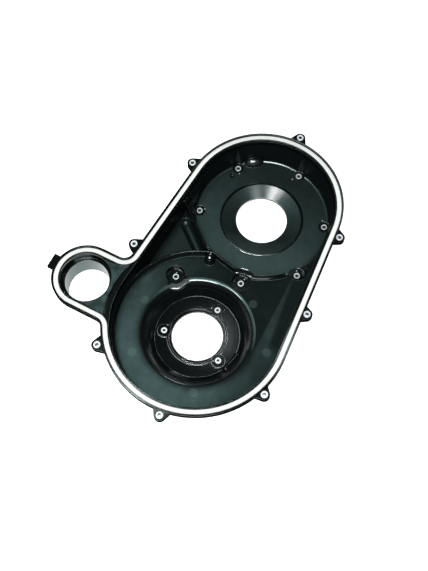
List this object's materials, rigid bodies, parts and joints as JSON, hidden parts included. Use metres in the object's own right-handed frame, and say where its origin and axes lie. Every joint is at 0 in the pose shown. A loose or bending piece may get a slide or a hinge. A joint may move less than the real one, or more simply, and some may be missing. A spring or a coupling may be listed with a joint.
{
  "type": "transmission inner cover",
  "caption": "Moulded inner cover of a belt-drive transmission: two-lobed drafted chamber with two shaft bores, a round duct socket, a grooved rim with a pale seal and screw inserts.",
  "frame": {"origin": "centre of the small-end bore, in the plane of the back collars the cover rests on", "axes": "+X from the large end to the small end, +Y towards the duct socket, +Z out of the open side"},
  "size_m": [0.587, 0.4398, 0.082],
  "materials": {
    "black_plastic": "black moulded nylon with a faint green cast and a slight sheen",
    "seal": "off-white foam seal",
    "insert_metal": "bright zinc-plated steel"
  },
  "bodies": {
    "root": {"housing": "black_plastic", "rim_seal": "seal", "rim_insert_1": "insert_metal", "rim_insert_2": "insert_metal", "rim_insert_3": "insert_metal", "rim_insert_4": "insert_metal", "rim_insert_5": "insert_metal", "rim_insert_6": "insert_metal", "rim_insert_7": "insert_metal", "rim_insert_8": "insert_metal", "mount_sleeve_1": "insert_metal", "mount_sleeve_2": "insert_metal", "mount_sleeve_3": "insert_metal", "mount_sleeve_4": "insert_metal", "mount_sleeve_5": "insert_metal", "mount_sleeve_6": "insert_metal", "mount_sleeve_7": "insert_metal", "hub_insert_1": "insert_metal", "hub_insert_2": "insert_metal", "hub_insert_3": "insert_metal"}
  },
  "joints": []
}
